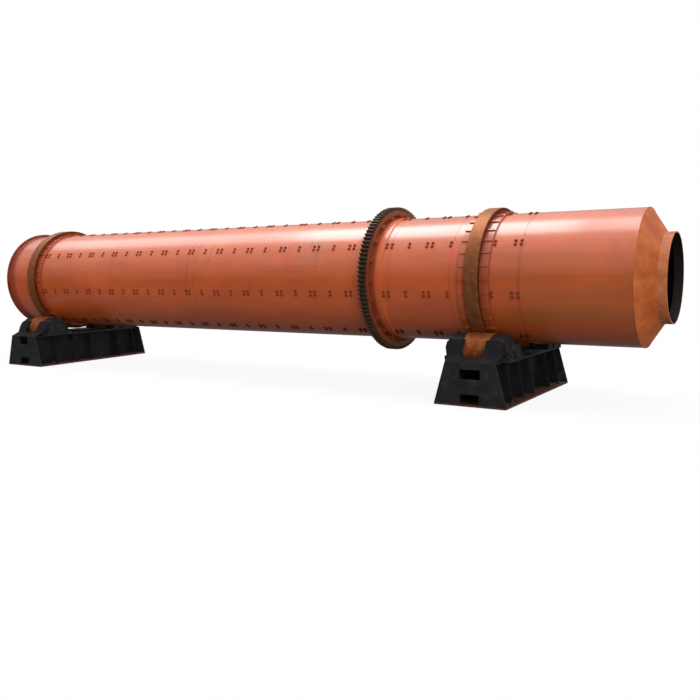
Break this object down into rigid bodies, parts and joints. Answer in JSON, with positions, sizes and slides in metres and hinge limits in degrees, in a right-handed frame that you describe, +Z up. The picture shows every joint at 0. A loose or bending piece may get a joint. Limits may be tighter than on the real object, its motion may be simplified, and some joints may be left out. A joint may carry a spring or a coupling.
{
  "type": "rotary drum cooler",
  "caption": "Long steel drum with a flanged end and a coned end, on riding rings and rollers over two welded bases, turned through a girth gear to cool hot bulk material",
  "frame": {"origin": "on the floor below the middle of the drum, at the bottom centre of the bounding box", "axes": "+X along the drum from the flanged end to the coned end, +Y to the far side, +Z up"},
  "size_m": [15.3, 3.1994, 3.325],
  "materials": {
    "shell_paint": "red oxide primer, weathered",
    "bare_steel": "mill scale with light rust",
    "gear_steel": "machined teeth, dark grease",
    "ring_steel": "machined face with surface rust",
    "roller_steel": "machined face with surface rust",
    "base_paint": "black paint, semi-gloss"
  },
  "bodies": {
    "supports": {"left_bearing_housings": "base_paint", "left_bearing_caps": "base_paint", "left_bottom_plate": "base_paint", "left_end_walls": "base_paint", "left_webs": "base_paint", "left_ribs": "base_paint", "left_top_plate": "base_paint", "right_bearing_housings": "base_paint", "right_bearing_caps": "base_paint", "right_bottom_plate": "base_paint", "right_end_walls": "base_paint", "right_webs": "base_paint", "right_ribs": "base_paint", "right_top_plate": "base_paint"},
    "drum": {"shell_stave_1": "shell_paint", "shell_stave_2": "shell_paint", "shell_stave_3": "shell_paint", "shell_stave_4": "shell_paint", "shell_stave_5": "shell_paint", "shell_stave_6": "shell_paint", "shell_stave_7": "shell_paint", "shell_stave_8": "shell_paint", "cone": "shell_paint", "neck": "shell_paint", "flange": "shell_paint", "end_plate": "shell_paint", "lifting_flights": "bare_steel", "girth_gear": "gear_steel", "gear_seat": "shell_paint", "left_tyre": "ring_steel", "left_tyre_seat": "shell_paint", "right_tyre": "ring_steel", "right_tyre_seat": "shell_paint"},
    "left_near_roll": {"left_near_roller": "roller_steel", "left_near_shaft": "roller_steel"},
    "left_far_roll": {"left_far_roller": "roller_steel", "left_far_shaft": "roller_steel"},
    "right_near_roll": {"right_near_roller": "roller_steel", "right_near_shaft": "roller_steel"},
    "right_far_roll": {"right_far_roller": "roller_steel", "right_far_shaft": "roller_steel"}
  },
  "joints": [
    {"name": "drum_spin", "type": "hinge", "parent": "supports", "child": "drum", "pos_m": [0, 0, 2], "axis": [1, 0, 0], "continuous": true},
    {"name": "left_near_roller_spin", "type": "hinge", "parent": "supports", "child": "left_near_roll", "pos_m": [-6.557, -0.95473, 0.86219], "axis": [1, 0, 0], "continuous": true},
    {"name": "left_far_roller_spin", "type": "hinge", "parent": "supports", "child": "left_far_roll", "pos_m": [-6.557, 0.95473, 0.86219], "axis": [1, 0, 0], "continuous": true},
    {"name": "right_near_roller_spin", "type": "hinge", "parent": "supports", "child": "right_near_roll", "pos_m": [4.857, -0.95473, 0.86219], "axis": [1, 0, 0], "continuous": true},
    {"name": "right_far_roller_spin", "type": "hinge", "parent": "supports", "child": "right_far_roll", "pos_m": [4.857, 0.95473, 0.86219], "axis": [1, 0, 0], "continuous": true}
  ],
  "couplings": [
    {"joint": "left_near_roller_spin", "follows": "drum_spin", "ratio": -4.5},
    {"joint": "left_far_roller_spin", "follows": "drum_spin", "ratio": -4.5},
    {"joint": "right_near_roller_spin", "follows": "drum_spin", "ratio": -4.5},
    {"joint": "right_far_roller_spin", "follows": "drum_spin", "ratio": -4.5}
  ]
}
